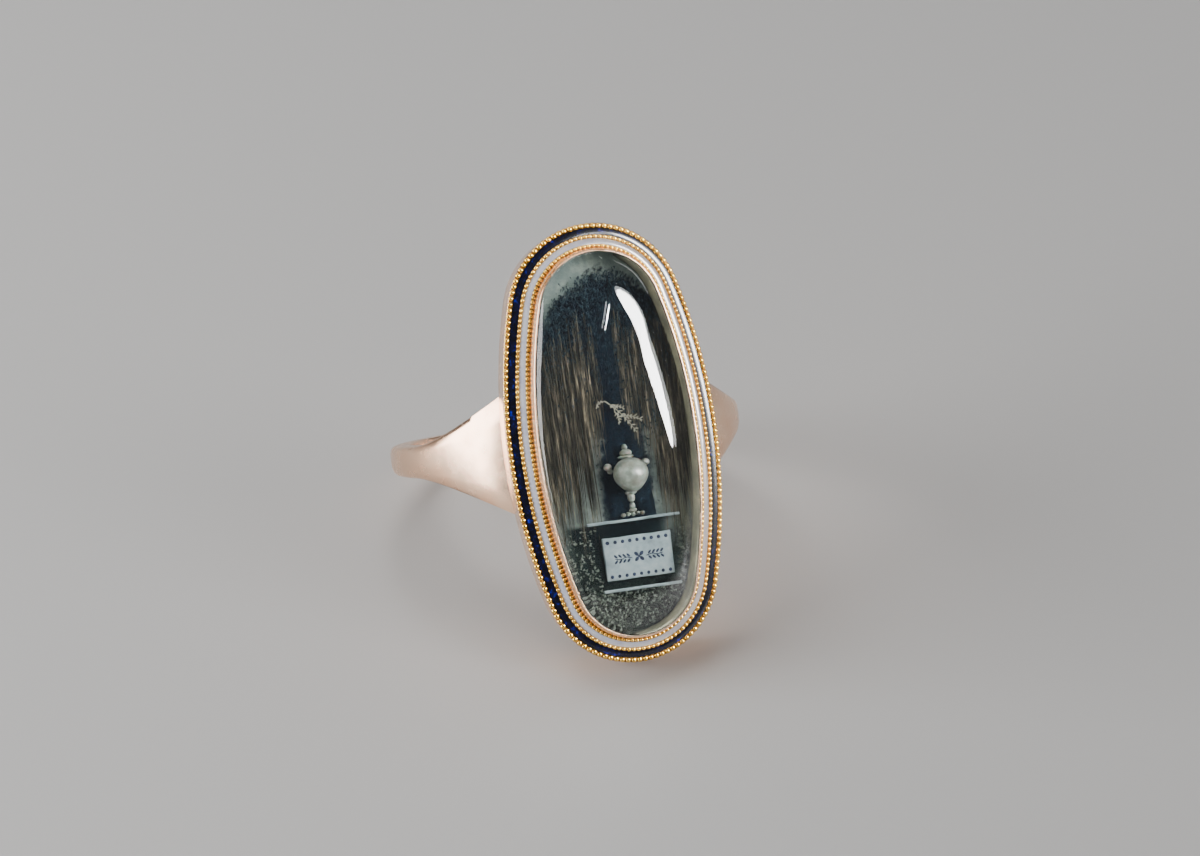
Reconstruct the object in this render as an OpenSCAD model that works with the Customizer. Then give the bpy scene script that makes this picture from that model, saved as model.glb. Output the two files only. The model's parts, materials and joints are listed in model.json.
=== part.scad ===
// Gold mourning ring with an oval picture bezel, in millimetres.
// The ring is drawn in its own frame and then laid down as it rests on a table.
// Ring frame: X across the bezel, Y along the bezel and the finger, Z out of the picture.
// Z = 0 there is the middle of the beaded outer edge of the bezel.

/* [Bezel] */
// Length of the bezel over its beaded edge
bezel_l = 24.5; // [20:0.5:30]
// Width of the bezel over its beaded edge
bezel_w = 12.0; // [10.5:0.5:14]
// Radius of the oval's two ends
bezel_end_r = 5.0; // [4.4:0.1:5.2]
// Depth of the outer wall, from the beaded edge to the back
bezel_depth = 2.8; // [2.4:0.1:3.4]
// How much the outer wall leans in between the beaded edge and the back
wall_taper = 0.34; // [0.1:0.02:0.5]
// Size of the bevel between the outer wall and the back
back_bevel = 0.3; // [0.2:0.05:0.4]
// Thickness of the gold back
back_t = 0.6; // [0.5:0.05:0.9]

/* [Rim] */
// Width of the outer beaded edge
outer_bead_w = 0.28; // [0.2:0.02:0.36]
// Width of the blue enamel band
blue_w = 0.37; // [0.3:0.01:0.5]
// Width of the beaded line between the two enamels
middle_bead_w = 0.18; // [0.12:0.02:0.22]
// Width of the white enamel band
white_w = 0.34; // [0.2:0.02:0.4]
// Width of the beaded line round the collet
inner_bead_w = 0.18; // [0.12:0.02:0.22]
// Width of the collet that holds the crystal
collet_w = 0.2; // [0.16:0.02:0.3]
// How far the blue enamel climbs from its outer to its inner edge
blue_rise = 0.2; // [0:0.01:0.3]
// How far the white enamel climbs from its outer to its inner edge
white_rise = 0.14; // [0:0.01:0.2]
// Swell of each enamel band above the straight line between its edges
enamel_swell = 0.03; // [0:0.01:0.05]
// Depth of the grooves that hold the enamel
enamel_t = 0.2; // [0.15:0.01:0.3]
// Height of the collet above the beaded line round it
collet_h = 0.75; // [0.5:0.05:1]
// How far the collet leans in over the crystal
collet_lean = 0.08; // [0:0.01:0.12]

/* [Crystal and picture] */
// Height of the crystal's dome above its straight edge
dome_h = 1.5; // [1:0.1:2]
// Height of the crystal's straight edge
crystal_edge = 0.9; // [0.7:0.05:1]
// Thickness of the crystal at the top of its dome
crystal_t = 0.9; // [0.8:0.05:1.1]
// Depth of the crystal's underside below the beaded line round the collet
crystal_sink = 0.2; // [0.1:0.02:0.3]
// Width of the ledge under the crystal's edge
crystal_ledge = 0.22; // [0.16:0.02:0.3]
// Depth of the picture's face under the beaded edge
picture_depth = 0.7; // [0.5:0.05:0.9]
// Thickness of the ivory plate that carries the picture
plate_t = 0.8; // [0.5:0.05:0.9]
// Width of the ledge under the ivory plate
plate_ledge = 0.35; // [0.2:0.05:0.5]

/* [Hoop] */
// Radius of the finger hole
finger_r = 8.75; // [8:0.05:9.5]
// Thickness of the hoop at the back of the finger
hoop_t = 1.0; // [0.8:0.05:1.4]
// How much thicker the hoop is at each side than at the back
hoop_swell = 0.3; // [0.1:0.05:0.5]
// Width of the hoop at the back of the finger
hoop_w = 1.2; // [1:0.05:2]
// Width of the hoop at its sides, where the shoulders run out
side_w = 1.8; // [1.2:0.05:2]
// Width of each shoulder where it meets the bezel
shoulder_w = 7.3; // [5:0.1:9]
// Height above the hoop's middle at which the shoulders start to flare
flare_start = 2.0; // [0:0.1:4]
// Depth of the finger hollow in the bezel's back
back_hollow = 0.2; // [0.1:0.05:0.35]
// How far the finger hollow runs on past each side of the shoulders
hollow_margin = 0.2; // [0.1:0.05:0.5]

/* [Urn and plinth] */
// Distance of the urn's axis from the picture's long axis
urn_x = 0.65; // [-0.7:0.05:0.7]
// Height of the plinth's foot bar above the lower end of the picture
base_rise = 2.35; // [2.2:0.05:3]
// Width of the pearl that is the urn's body
urn_body_w = 1.86; // [1.4:0.02:2]
// Height of the pearl that is the urn's body
urn_body_h = 1.9; // [1.6:0.02:2.3]
// Diameter of the pearls of the handles and the neck
small_pearl_d = 0.6; // [0.4:0.02:0.7]
// Diameter of the seed pearls of the stem and the lid
seed_d = 0.46; // [0.3:0.02:0.5]
// Diameter of the seed pearls of the foot and the finial
foot_seed_d = 0.3; // [0.2:0.02:0.34]
// Number of seed pearls side by side in the foot
foot_seeds = 3; // [2:1:4]
// Width of the plinth's top bar
cap_w = 5.1; // [4:0.1:6]
// Width of the plinth's foot bar
base_w = 4.3; // [4:0.05:4.4]
// Width of the plaque on the plinth's face
plaque_w = 3.75; // [3:0.05:4]
// Height of the plaque on the plinth's face
plaque_h = 2.35; // [1.8:0.05:2.6]
// Height of the bars at the plinth's top and foot
bar_h = 0.22; // [0.16:0.02:0.3]
// Clear height between the top bar and the plaque
cap_drop = 0.75; // [0.4:0.05:1]
// Clear height between the plaque and the foot bar
foot_drop = 0.45; // [0.3:0.05:0.8]
// How far the plinth's pieces stand out of the ivory plate
plinth_t = 0.2; // [0.1:0.02:0.3]

/* [Fits] */
// Gap left between pieces that touch
gap = 0.02; // [0.01:0.01:0.04]

/* [Hidden] */
$fn = 96;

// How far cutting shapes run past what they cut
over = 0.5;
// Flat steps in each end arc, an odd number so that the ring stands on the middle one, and in each flank arc
end_steps = 9;
flank_steps = 12;

// The oval: two end arcs and two flank arcs that meet smoothly
half_l = bezel_l / 2;
half_w = bezel_w / 2;
end_y = half_l - bezel_end_r;
flank_r = (end_y * end_y + half_w * half_w - bezel_end_r * bezel_end_r) / (2 * (half_w - bezel_end_r));
flank_x = flank_r - half_w;
join_angle = atan(end_y / flank_x);

// Distances of the rim's lines in from the bezel's outer edge
blue_d = outer_bead_w;
middle_d = blue_d + blue_w;
white_d = middle_d + middle_bead_w;
inner_d = white_d + white_w;
collet_d = inner_d + inner_bead_w;
crystal_d = collet_d + collet_w;
chamber_d = crystal_d + crystal_ledge;
cavity_d = chamber_d + plate_ledge;

// Heights of the rim's lines
blue_z = 0.02;
middle_z = blue_z + blue_rise + middle_bead_w / 4;
white_z = middle_z;
inner_z = white_z + white_rise + inner_bead_w / 4;
collet_z = inner_z + collet_h;
crystal_z = inner_z - crystal_sink;
wall_low_z = blue_z - enamel_t;
white_low_z = white_z - enamel_t;
picture_z = -picture_depth;
plate_z = picture_z - plate_t;
back_z = -bezel_depth;

// The crystal's dome is a barrel: it curves tightly across and gently along
crystal_half_w = half_w - crystal_d - gap;
crystal_half_l = half_l - crystal_d - gap;
dome_top = crystal_z + crystal_edge + dome_h;
dome_across_r = (crystal_half_w * crystal_half_w + dome_h * dome_h) / (2 * dome_h);
dome_along_r = (crystal_half_l * crystal_half_l + dome_h * dome_h) / (2 * dome_h);

// The finger hole and the hoop round it
hole_z = back_z + back_hollow - finger_r;
hoop_r = finger_r + hoop_t + hoop_swell;
hoop_z = hole_z + hoop_swell;
hoop_low = hoop_z - hoop_r;
flare_z = hoop_z + flare_start;
shoulder_z = hoop_z + sqrt(pow(hoop_r, 2) - pow(half_w - wall_taper, 2));

// Upper corner of the bevel between the outer wall and the back
bevel_z = back_z + back_bevel;
bevel_d = wall_taper * (wall_low_z - bevel_z) / (wall_low_z - back_z);

// How the ring lies: it leans back until the bezel's tip and the hoop's edge touch the table
step_angle = (180 - 2 * join_angle) / end_steps;
tip_y = end_y + (bezel_end_r - bevel_d) * cos(step_angle / 2);
lean = atan((tip_y - hoop_w / 2) / (bevel_z - hoop_low));
lift = tip_y * cos(lean) - bevel_z * sin(lean);
bead_y = end_y + (bezel_end_r - outer_bead_w / 2) * cos(step_angle / 2);
bead_front = -bead_y * sin(lean) - outer_bead_w / 2;
collet_y = end_y + (bezel_end_r - collet_d - collet_lean) * cos(step_angle / 2);
collet_front = -collet_y * sin(lean) - collet_z * cos(lean);
front = min(bead_front, collet_front);
rear = hoop_w / 2 * sin(lean) - hoop_low * cos(lean);

// Lays the ring down, with the middle of its footprint at the origin
module at_rest() {
    translate([0, -(front + rear) / 2, lift])
        rotate([90 - lean, 0, 0])
            children();
}

// One arc of the oval as a list of stations: the arc's centre, its radius and the angle there
function arc_stations(centre, r, from, to, steps) =
    [for (k = [0 : steps - 1]) [centre, r, from + (to - from) * k / steps]];

stations = concat(
    arc_stations([-flank_x, 0], flank_r, -join_angle, join_angle, flank_steps),
    arc_stations([0, end_y], bezel_end_r, join_angle, 180 - join_angle, end_steps),
    arc_stations([flank_x, 0], flank_r, 180 - join_angle, 180 + join_angle, flank_steps),
    arc_stations([0, -end_y], bezel_end_r, 180 + join_angle, 360 - join_angle, end_steps)
);

// Point of the oval at a station, a distance in from the bezel's outer edge
function oval_point(station, inset) =
    station[0] + (station[1] - inset) * [cos(station[2]), sin(station[2])];

// Carries a section round the oval. Its points are [distance in from the outer edge, height].
// A closed section makes a ring, and an open one a cup with a flat face at each end
module round_oval(section, closed = true) {
    n = len(section);
    m = len(stations);
    function at(k, j) = (k % m) * n + j % n;
    points = [
        for (station = stations, p = section)
            let (q = oval_point(station, p.x))
                [q.x, q.y, p.y]
    ];
    sides = [
        for (k = [0 : m - 1], j = [0 : closed ? n - 1 : n - 2])
            [at(k, j), at(k, j + 1), at(k + 1, j + 1), at(k + 1, j)]
    ];
    caps = closed ? [] : [[for (k = [0 : m - 1]) at(k, 0)], [for (k = [m - 1 : -1 : 0]) at(k, n - 1)]];
    polyhedron(points = points, faces = concat(sides, caps), convexity = 10);
}

// Flat oval, a distance in from the bezel's outer edge
module oval_slab(inset, low, high) {
    translate([0, 0, low])
        linear_extrude(height = high - low)
            polygon([for (station = stations) oval_point(station, inset)]);
}

// Half-round top of a beaded edge, as points of a section
function bead_points(inset, width, z) =
    [for (turn = [180 : -45 : 0]) [inset + width / 2 * (1 + cos(turn)), z + width / 2 * sin(turn)]];

// Section of the gold bezel, from its back over the rim and down into its cavity
function bezel_section() = concat(
    [[wall_taper + back_bevel, back_z], [bevel_d, bevel_z], [0, wall_low_z]],
    bead_points(0, outer_bead_w, 0),
    [[blue_d, wall_low_z], [middle_d, wall_low_z + blue_rise]],
    bead_points(middle_d, middle_bead_w, middle_z),
    [[white_d, white_low_z], [inner_d, white_low_z + white_rise]],
    bead_points(inner_d, inner_bead_w, inner_z),
    [[collet_d + collet_lean, collet_z], [crystal_d, collet_z], [crystal_d, crystal_z - gap]],
    [[chamber_d, crystal_z - gap], [chamber_d, plate_z - gap], [cavity_d, plate_z - gap], [cavity_d, back_z + back_t]]
);

// Outline of the hoop and its shoulders, seen from the side. Its x is along the finger, its y is height
module hoop_outline() {
    flare = (shoulder_w - side_w) / 2;
    climb = shoulder_z - flare_z;
    sweep_r = (climb * climb + flare * flare) / (2 * flare);
    difference() {
        translate([-shoulder_w / 2 - over, flare_z])
            square([shoulder_w + 2 * over, -flare_z]);
        for (edge = [-1, 1])
            intersection() {
                translate([edge * (side_w / 2 + sweep_r), flare_z])
                    circle(r = sweep_r, $fn = 180);
                translate([-shoulder_w, flare_z - over])
                    square([2 * shoulder_w, climb + 2 * over]);
            }
    }
    polygon([
        [-side_w / 2, flare_z], [side_w / 2, flare_z],
        [hoop_w / 2, hoop_low - over], [-hoop_w / 2, hoop_low - over]
    ]);
}

module hoop_and_shoulders() {
    intersection() {
        translate([0, 0, hoop_z])
            rotate([90, 0, 0])
                cylinder(r = hoop_r, h = shoulder_w + 4 * over, center = true, $fn = 180);
        rotate([90, 0, 90])
            linear_extrude(height = 2 * hoop_r + 2 * over, center = true)
                hoop_outline();
    }
}

module gold_mount() {
    color("#d9a06a")
        difference() {
            union() {
                round_oval(bezel_section(), closed = false);
                difference() {
                    hoop_and_shoulders();
                    oval_slab(wall_taper + back_bevel, back_z + back_t / 2, crystal_z);
                }
            }
            translate([0, 0, hole_z])
                rotate([90, 0, 0])
                    cylinder(r = finger_r, h = shoulder_w + 2 * hollow_margin, center = true, $fn = 180);
        }
}

// Section of an enamel band between two walls, with a swelled face
function enamel_section(inset, width, low_z, face_z, rise) = [
    [inset + gap, low_z + gap],
    [inset + gap, face_z],
    [inset + width / 4, face_z + rise / 4 + enamel_swell * 3 / 4],
    [inset + width / 2, face_z + rise / 2 + enamel_swell],
    [inset + width * 3 / 4, face_z + rise * 3 / 4 + enamel_swell * 3 / 4],
    [inset + width - gap, face_z + rise],
    [inset + width - gap, low_z + rise + gap]
];

module blue_enamel() {
    color("#141c5e")
        round_oval(enamel_section(blue_d, blue_w, wall_low_z, blue_z, blue_rise));
}

module white_enamel() {
    color("#e4e6ee")
        round_oval(enamel_section(white_d, white_w, white_low_z, white_z, white_rise));
}

// Barrel whose surface lies a distance under the crystal's outer face
module dome_barrel(under) {
    across = dome_across_r - under;
    along = dome_along_r - under;
    translate([0, 0, dome_top - dome_across_r])
        rotate([90, 0, 0])
            rotate_extrude($fn = 180)
                intersection() {
                    translate([across - along, 0])
                        circle(r = along, $fn = 360);
                    translate([0, -half_l])
                        square([across, bezel_l]);
                }
}

module crystal() {
    color("#dfe8ea", 0.35)
        difference() {
            intersection() {
                oval_slab(crystal_d + gap, crystal_z, dome_top);
                dome_barrel(0);
            }
            dome_barrel(crystal_t);
        }
}

module picture_plate() {
    color("#c9cbb8")
        oval_slab(chamber_d + gap, plate_z, picture_z);
}

// Heights along the urn's axis, worked up from the lower end of the picture
base_y = base_rise + chamber_d - half_l;
plaque_y = base_y + bar_h / 2 + foot_drop + plaque_h / 2;
plinth_y = plaque_y + plaque_h / 2 + cap_drop + bar_h / 2;
foot_y = plinth_y + bar_h / 2 + gap + foot_seed_d / 2;
stem_y = foot_y + foot_seed_d / 2 + gap + seed_d / 2;
neck_y = stem_y + seed_d / 2 + gap + small_pearl_d / 2;
body_y = neck_y + small_pearl_d / 2 + gap + urn_body_h / 2;
lid_y = body_y + urn_body_h / 2 + gap + seed_d / 2;
finial_y = lid_y + seed_d / 2 + gap + foot_seed_d / 2;
handle_x = urn_body_w / 2 * cos(35) + gap + small_pearl_d / 2;
handle_y = body_y + urn_body_h / 2 * sin(35);

// Round pearl that rests on the picture's face
module pearl(x, y, d) {
    color("#e8e4da")
        translate([urn_x + x, y, picture_z + gap + d / 2])
            sphere(d = d, $fn = 32);
}

// Egg-shaped pearl: a pair of arcs turned round the urn's axis
module urn_body() {
    r = (pow(urn_body_h / 2, 2) + pow(urn_body_w / 2, 2)) / urn_body_w;
    color("#e8e4da")
        translate([urn_x, body_y, picture_z + gap + urn_body_w / 2])
            rotate([90, 0, 0])
                rotate_extrude($fn = 48)
                    intersection() {
                        translate([urn_body_w / 2 - r, 0])
                            circle(r = r, $fn = 64);
                        translate([0, -urn_body_h / 2])
                            square([urn_body_w / 2, urn_body_h]);
                    }
}

module urn_neck() {
    pearl(0, neck_y, small_pearl_d);
}

module urn_lid() {
    pearl(0, lid_y, seed_d);
}

module urn_finial() {
    pearl(0, finial_y, foot_seed_d);
}

module urn_handle_left() {
    pearl(-handle_x, handle_y, small_pearl_d);
}

module urn_handle_right() {
    pearl(handle_x, handle_y, small_pearl_d);
}

module urn_stem() {
    pearl(0, stem_y, seed_d);
}

module urn_foot() {
    pitch = foot_seed_d + 0.1;
    for (k = [0 : foot_seeds - 1])
        pearl((k - (foot_seeds - 1) / 2) * pitch, foot_y, foot_seed_d);
}

// Flat ivory piece on the picture's face
module tablet(width, height, y) {
    color("#cfd3cf")
        translate([urn_x - width / 2, y - height / 2, picture_z + gap])
            cube([width, height, plinth_t]);
}

module plinth_cap() {
    tablet(cap_w, bar_h, plinth_y);
}

module plinth_plaque() {
    tablet(plaque_w, plaque_h, plaque_y);
}

module plinth_base() {
    tablet(base_w, bar_h, base_y);
}

at_rest() gold_mount();
at_rest() blue_enamel();
at_rest() white_enamel();
at_rest() crystal();
at_rest() picture_plate();
at_rest() urn_body();
at_rest() urn_neck();
at_rest() urn_lid();
at_rest() urn_finial();
at_rest() urn_handle_left();
at_rest() urn_handle_right();
at_rest() urn_stem();
at_rest() urn_foot();
at_rest() plinth_cap();
at_rest() plinth_plaque();
at_rest() plinth_base();
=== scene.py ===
# %% [markdown]
# # A gold mourning ring with an urn and a willow under crystal
# This lesson dresses a ring that was first drawn in CAD. The CAD solids give every size and place,
# and Blender adds what the eye sees: rounded gold, rows of beads, enamel, hair work, pearls and crystal.

# %% The frame
import json
import math
import random

import bpy
from mathutils import Matrix, Vector


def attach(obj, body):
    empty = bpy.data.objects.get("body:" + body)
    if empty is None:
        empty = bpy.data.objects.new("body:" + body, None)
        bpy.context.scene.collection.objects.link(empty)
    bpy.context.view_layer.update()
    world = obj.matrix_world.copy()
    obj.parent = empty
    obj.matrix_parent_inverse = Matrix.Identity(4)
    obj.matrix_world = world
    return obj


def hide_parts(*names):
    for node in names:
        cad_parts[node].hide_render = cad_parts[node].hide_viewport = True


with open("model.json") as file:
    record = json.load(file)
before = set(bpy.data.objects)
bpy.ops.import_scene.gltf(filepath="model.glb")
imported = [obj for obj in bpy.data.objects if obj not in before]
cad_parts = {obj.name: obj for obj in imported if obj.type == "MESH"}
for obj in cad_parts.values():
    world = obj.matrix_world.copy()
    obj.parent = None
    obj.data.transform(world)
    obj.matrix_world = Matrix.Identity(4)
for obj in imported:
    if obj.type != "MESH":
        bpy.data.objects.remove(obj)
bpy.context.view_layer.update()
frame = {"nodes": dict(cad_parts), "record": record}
MM = 0.001

# %% [markdown]
# ## The ring's own frame
# A jeweller works on the ring with its picture facing up, and so does this lesson. In the ring's own frame
# X runs across the picture, Y up along it, and Z comes out of it, all in millimetres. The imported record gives
# the finger hole's middle and direction in the frame in which the ring lies on the table, and the rest follows.

# %% From the bench to the table
FINGER_R = 8.75
BEZEL_DEPTH = 2.8
BACK_HOLLOW = 0.2
HOLE_Z = BACK_HOLLOW - BEZEL_DEPTH - FINGER_R

hole = frame["record"]["mounts"][0]
ALONG = Vector(hole["axis"]).normalized()
OUT = Vector((0, -ALONG.z, ALONG.y))
BENCH_ORIGIN = Vector(hole["pos_m"]) - OUT * HOLE_Z * MM
LEAN = Matrix((Vector((1, 0, 0)), ALONG, OUT)).transposed().to_4x4()
TABLE = Matrix.Translation(BENCH_ORIGIN) @ LEAN
print("the ring leans back", round(math.degrees(math.asin(ALONG.y)), 2), "degrees")

# %% [markdown]
# ## Habits of the bench
# Blender's tools act on whatever is selected, so each piece starts with nothing selected. A finished piece is
# carried to the table by one matrix, which is then applied, so that its place is in its mesh.

# %% Selecting and editing
def select_nothing():
    """Deselects every object."""
    bpy.ops.object.select_all(action="DESELECT")


def edit():
    """Opens the active piece's mesh for editing."""
    bpy.ops.object.mode_set(mode="EDIT")


def close():
    """Closes the mesh again."""
    bpy.ops.object.mode_set(mode="OBJECT")


def select_mesh():
    """Selects all of the open mesh."""
    bpy.ops.mesh.select_all(action="SELECT")


# %% Copying, laying down, smoothing
def copy_of(model):
    """A copy of a piece, with a mesh of its own."""
    copy = model.copy()
    copy.data = model.data.copy()
    bpy.context.collection.objects.link(copy)
    return copy


def only(piece):
    """Selects one piece alone."""
    select_nothing()
    piece.select_set(True)
    bpy.context.view_layer.objects.active = piece


def lay_down(piece):
    """Carries a finished piece from the bench to the table and fixes it to the ring."""
    only(piece)
    piece.matrix_world = TABLE @ Matrix.Scale(MM, 4) @ piece.matrix_world
    bpy.ops.object.transform_apply(location=True, rotation=True, scale=True)
    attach(piece, "root")
    print(piece.name, "has", sum(len(p.vertices) - 2 for p in piece.data.polygons), "triangles")


def smooth(piece, degrees=40):
    """Shades a piece smoothly, with creases where faces meet more sharply than the angle."""
    only(piece)
    bpy.ops.object.shade_smooth_by_angle(angle=math.radians(degrees))


def weld(piece):
    """Merges a piece's doubled points and turns its faces outwards."""
    only(piece)
    edit()
    select_mesh()
    bpy.ops.mesh.remove_doubles(threshold=0.001)
    bpy.ops.mesh.normals_make_consistent(inside=False)
    close()


def join(pieces, name):
    """Joins pieces into one."""
    select_nothing()
    for piece in pieces:
        piece.select_set(True)
    bpy.context.view_layer.objects.active = pieces[0]
    bpy.ops.object.join()
    pieces[0].name = name
    return pieces[0]


# %% [markdown]
# ## The oval
# Everything round the picture follows one oval: two tight arcs at the ends and two long, flat arcs at the
# sides, which meet without a corner. A section is drawn once, at the start of the first arc, and is then spun
# about the centre of each arc in turn. Distances are measured inwards from the oval's outer edge.

# %% The oval's arcs
HALF_L, HALF_W, END_R = 12.25, 6.0, 5.0
END_Y = HALF_L - END_R
FLANK_R = (END_Y**2 + HALF_W**2 - END_R**2) / (2 * (HALF_W - END_R))
FLANK_X = FLANK_R - HALF_W
JOIN = math.atan2(END_Y, FLANK_X)
ARCS = (
    (Vector((-FLANK_X, 0, 0)), FLANK_R, -JOIN, 2 * JOIN),
    (Vector((0, END_Y, 0)), END_R, JOIN, math.pi - 2 * JOIN),
    (Vector((FLANK_X, 0, 0)), FLANK_R, math.pi - JOIN, 2 * JOIN),
    (Vector((0, -END_Y, 0)), END_R, math.pi + JOIN, math.pi - 2 * JOIN),
)


def on_oval(inset, count):
    """Evenly spaced points on the oval, and the direction outwards at each."""
    lengths = [(radius - inset) * turn for centre, radius, start, turn in ARCS]
    points = []
    for k in range(count):
        way = (k + 0.5) * sum(lengths) / count
        for (centre, radius, start, turn), length in zip(ARCS, lengths):
            if way <= length:
                angle = start + way / (radius - inset)
                out = Vector((math.cos(angle), math.sin(angle), 0))
                points.append((centre + out * (radius - inset), out))
                break
            way -= length
    return points


print("the oval is", round(sum(r * t for c, r, s, t in ARCS), 2), "mm round")


# %% Spinning a section round the oval
def first_place(inset, height):
    """Where a section's point stands before the spins."""
    centre, radius, start, turn = ARCS[0]
    out = Vector((math.cos(start), math.sin(start), 0))
    return centre + out * (radius - inset) + Vector((0, 0, height))


def draw_line(name, places):
    """Draws a line by extruding one point from place to place. It stays in edit mode."""
    select_nothing()
    bpy.ops.mesh.primitive_plane_add(size=1)
    piece = bpy.context.object
    piece.name = name
    edit()
    bpy.ops.mesh.select_mode(type="VERT")
    bpy.ops.mesh.merge(type="CENTER")
    bpy.ops.transform.translate(value=places[0])
    for here, there in zip(places, places[1:]):
        bpy.ops.mesh.extrude_region_move(TRANSFORM_OT_translate={"value": there - here})
    return piece


def round_the_oval(name, section, closed=True, ends=True):
    """Spins a section round the oval. An open section may be closed with a flat face at each end."""
    if closed:
        section = [*section, section[0]]
    piece = draw_line(name, [first_place(*point) for point in section])
    select_mesh()
    bpy.ops.mesh.remove_doubles(threshold=0.001)
    for (centre, radius, start, turn), steps in zip(ARCS, (28, 44, 28, 44)):
        bpy.ops.mesh.spin(steps=steps, angle=turn, center=centre, axis=(0, 0, -1))
    select_mesh()
    bpy.ops.mesh.remove_doubles(threshold=0.001)
    if not closed and ends:
        bpy.ops.mesh.fill_holes(sides=0)
    select_mesh()
    bpy.ops.mesh.normals_make_consistent(inside=False)
    close()
    return piece


# %% [markdown]
# ## The gold case
# The case is a box folded from sheet gold, with a flat land under each row of beads, two grooves for enamel
# and a thin collet whose lip is rubbed over the crystal. Its section holds all of that, with the corners
# eased as polishing leaves them. Four spins are quicker and smoother than filing an oval block.

# %% The case's section
def eased(points, reach=0.05, steps=3):
    """Rounds each inner corner of a line with a short curve."""
    line = [points[0]]
    for before, corner, after in zip(points, points[1:], points[2:]):
        corner_at = Vector(corner)
        one = Vector(before) - corner_at
        two = Vector(after) - corner_at
        size = min(reach, one.length * 0.4, two.length * 0.4)
        one, two = corner_at + one.normalized() * size, corner_at + two.normalized() * size
        for k in range(steps + 1):
            t = k / steps
            line.append(tuple(one * (1 - t) ** 2 + corner_at * 2 * t * (1 - t) + two * t**2))
    return [*line, points[-1]]


# Points of (inset, height), from the back round the outside to the well that holds the picture
back_and_wall = [(0.9, -2.8), (0.56, -2.79), (0.33, -2.58), (0.0, -0.18), (0.0, 0.02)]
outer_land_and_groove = [(0.28, 0.02), (0.28, -0.16), (0.65, 0.04)]
middle_land_and_groove = [(0.65, 0.29), (0.83, 0.29), (0.83, 0.1), (1.17, 0.24)]
inner_land = [(1.17, 0.46), (1.36, 0.46)]
collet = [(1.37, 0.7), (1.41, 1.0), (1.47, 1.19), (1.54, 1.22), (1.56, 1.12), (1.55, 0.24)]
well = [(1.77, 0.23), (1.77, -1.52), (2.12, -1.52), (2.12, -2.2)]
case_section = eased(
    [*back_and_wall, *outer_land_and_groove, *middle_land_and_groove, *inner_land, *collet, *well], 0.04
)
case = round_the_oval("gold_case", case_section, closed=False)
smooth(case, 50)
print("the case's section has", len(case_section), "points")

# %% [markdown]
# The finger needs a shallow hollow in the case's back. A cylinder is taken away from the case, as a round
# file would take it.

# %% The hollow for the finger
select_nothing()
bpy.ops.mesh.primitive_cylinder_add(
    vertices=180, radius=FINGER_R, depth=7.7, location=(0, 0, HOLE_Z), rotation=(math.pi / 2, 0, 0)
)
finger = bpy.context.object
only(case)
bpy.ops.object.modifier_add(type="BOOLEAN")
case.modifiers[-1].object = finger
case.modifiers[-1].operation = "DIFFERENCE"
bpy.ops.object.modifier_apply(modifier=case.modifiers[-1].name)
bpy.data.objects.remove(finger)
print("the case has", len(case.data.polygons), "faces with its hollow")

# %% [markdown]
# ## The hoop and its shoulders
# The hoop is a D-shaped wire, thickest at its sides, and its shoulders spread like a fishtail to meet the case.
# A section of unit width is spun round the finger, and each point is then moved out to the width that the
# hoop has at its height.

# %% The hoop
HOOP_SWELL = 0.3
HOOP_R, HOOP_Z = 10.05, HOLE_Z + HOOP_SWELL
HOOP_LOW = HOOP_Z - HOOP_R
FLARE_Z = HOOP_Z + 2.0
SHOULDER_Z = HOOP_Z + math.sqrt(HOOP_R**2 - (HALF_W - 0.34) ** 2)
HOOP_W, SIDE_W, SHOULDER_W = 1.2, 1.8, 7.3
CLIMB, FLARE = SHOULDER_Z - FLARE_Z, (SHOULDER_W - SIDE_W) / 2
SWEEP_R = (CLIMB**2 + FLARE**2) / (2 * FLARE)


def hoop_width(z):
    """Width of the hoop or shoulder at a height."""
    if z < FLARE_Z:
        return HOOP_W + (SIDE_W - HOOP_W) * (z - HOOP_LOW) / (FLARE_Z - HOOP_LOW)
    return SIDE_W + 2 * (SWEEP_R - math.sqrt(SWEEP_R**2 - (z - FLARE_Z) ** 2))


inside, outside = FINGER_R - HOOP_SWELL, HOOP_R
hoop_section = [
    (-0.42, inside), (0.42, inside), (0.485, inside + 0.05), (0.5, inside + 0.16), (0.5, outside - 0.45),
    (0.47, outside - 0.25), (0.4, outside - 0.12), (0.25, outside - 0.03), (0.0, outside),
    (-0.25, outside - 0.03), (-0.4, outside - 0.12), (-0.47, outside - 0.25), (-0.5, outside - 0.45),
    (-0.5, inside + 0.16), (-0.485, inside + 0.05), (-0.42, inside),
]
TOP = math.radians(60)
hoop = draw_line(
    "gold_hoop",
    [Vector((r * math.cos(TOP), y, HOOP_Z + r * math.sin(TOP))) for y, r in hoop_section],
)
select_mesh()
bpy.ops.mesh.remove_doubles(threshold=0.001)
bpy.ops.mesh.spin(steps=150, angle=math.pi + 2 * TOP, center=(0, 0, HOOP_Z), axis=(0, -1, 0))
select_mesh()
bpy.ops.mesh.fill_holes(sides=0)
bpy.ops.mesh.normals_make_consistent(inside=False)
close()
for vertex in hoop.data.vertices:
    x, y, z = vertex.co
    out = math.hypot(x, z - HOOP_Z)
    wall = (outside - out) / (outside - inside)
    ray = Vector((x / out, (z - HOOP_Z) / out))
    dip = -HOOP_SWELL * ray.y
    inner = dip + math.sqrt(FINGER_R**2 - HOOP_SWELL**2 + dip**2)
    reach = outside + (inner - outside) * wall
    vertex.co = (reach * ray.x, y * hoop_width(HOOP_Z + reach * ray.y), HOOP_Z + reach * ray.y)
weld(hoop)
smooth(hoop, 50)
widths = [round(hoop_width(z), 2) for z in (HOOP_LOW, HOOP_Z, SHOULDER_Z)]
print("widths at the back, side and shoulder:", widths)

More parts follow.
